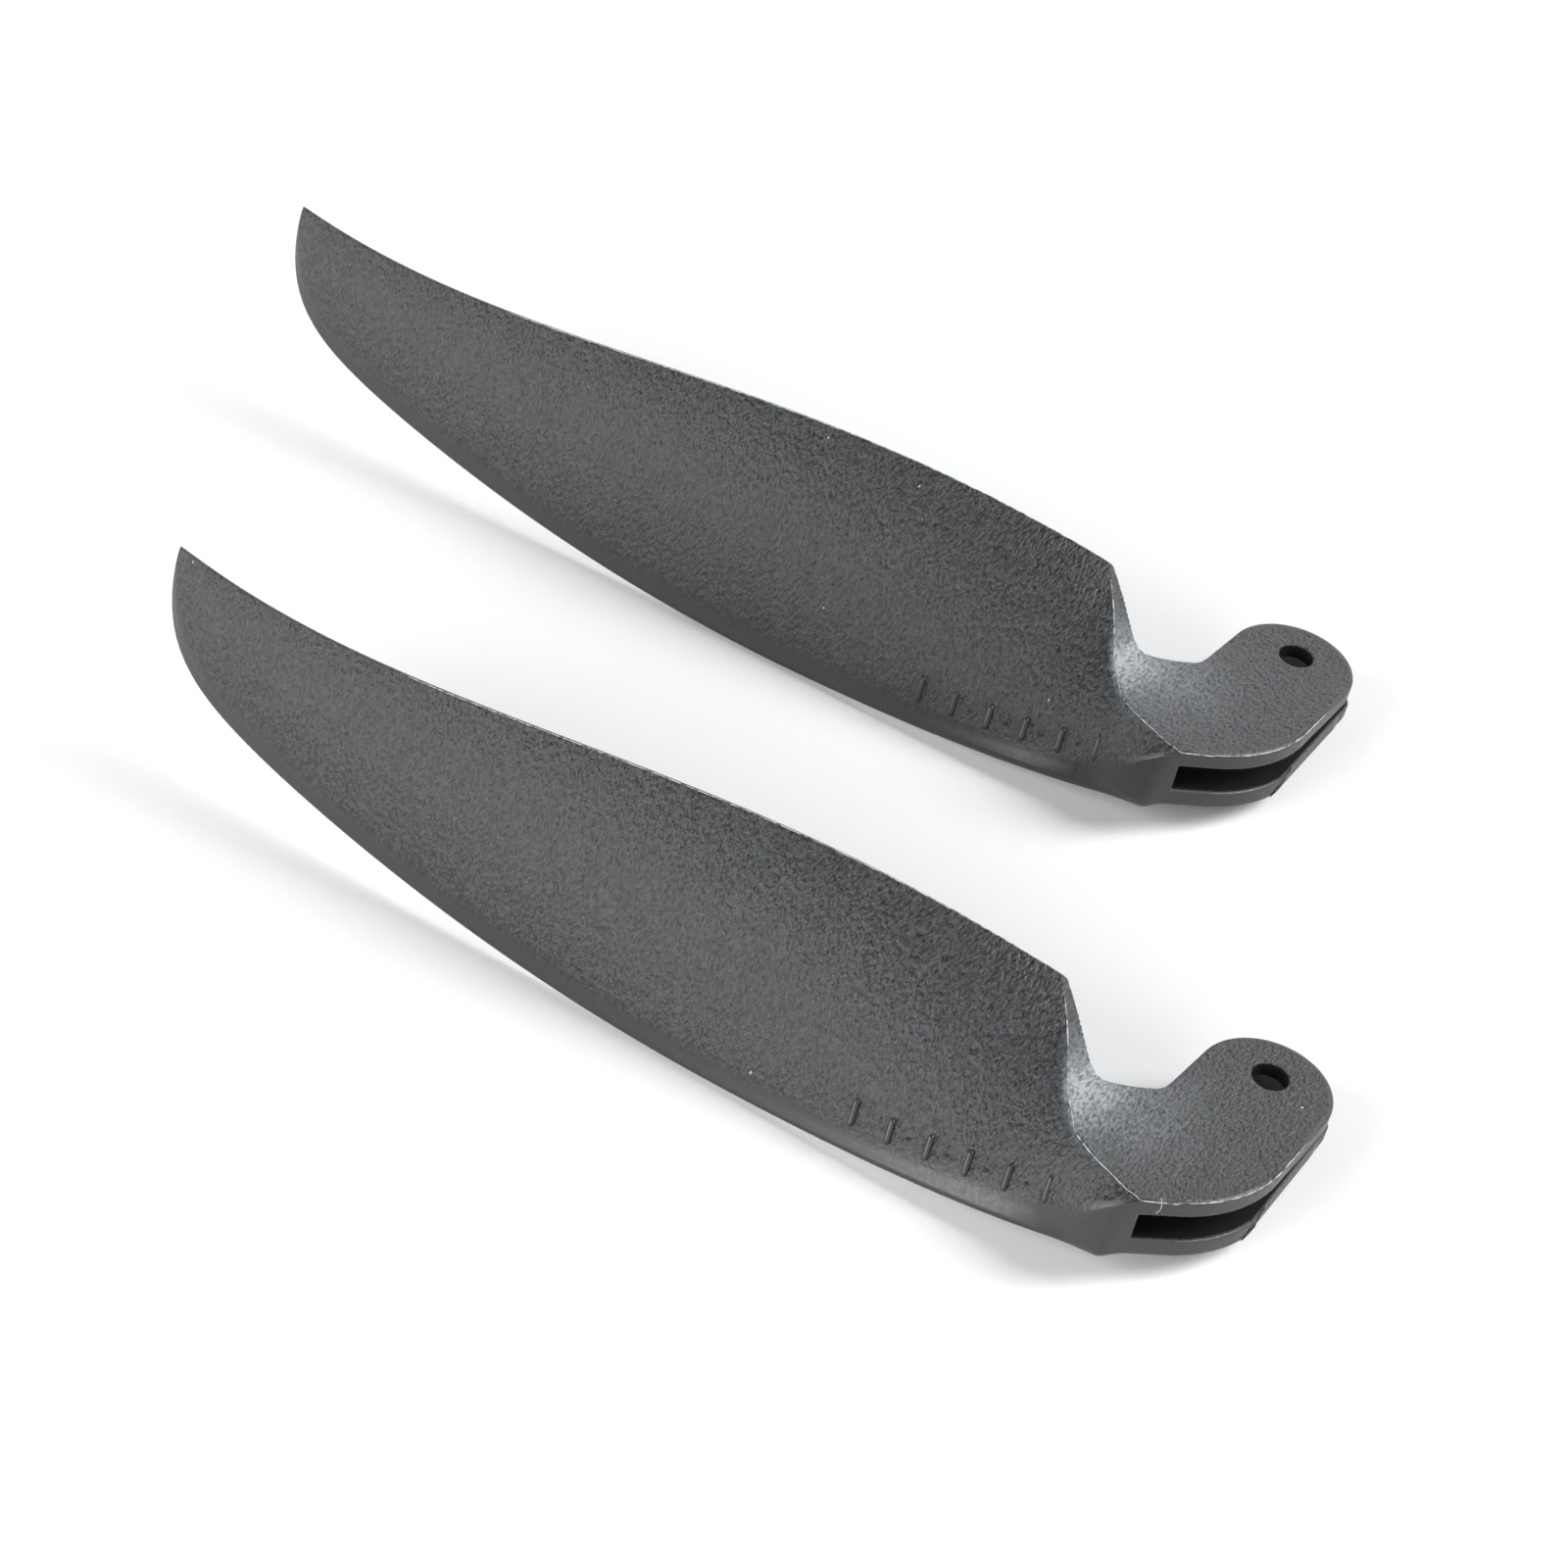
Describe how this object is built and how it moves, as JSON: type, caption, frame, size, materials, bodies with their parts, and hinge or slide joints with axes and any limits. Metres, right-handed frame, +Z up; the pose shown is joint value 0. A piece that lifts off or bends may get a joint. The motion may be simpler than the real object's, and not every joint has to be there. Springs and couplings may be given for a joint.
{
  "type": "folding propeller blade pair",
  "caption": "Pair of matt black moulded folding propeller blades for an electric model glider, lying loose side by side, each with a forked root and a hinge-pin bore.",
  "frame": {"origin": "centre of the pair's box, on the surface that the blades lie on", "axes": "+X along the blades from tip towards hinge fork, +Y from the front blade towards the rear blade, +Z up"},
  "size_m": [0.1402, 0.0788, 0.0191],
  "materials": {
    "black_nylon": "matt black glass-filled nylon with a fine moulded grain"
  },
  "bodies": {
    "front_blade": {"front_blade": "black_nylon"},
    "rear_blade": {"rear_blade": "black_nylon"}
  },
  "joints": [
    {"name": "rear_blade_lift", "type": "slide", "parent": "front_blade", "child": "rear_blade", "axis": [0, 0, 1], "range_m": [0, 0.05]}
  ]
}
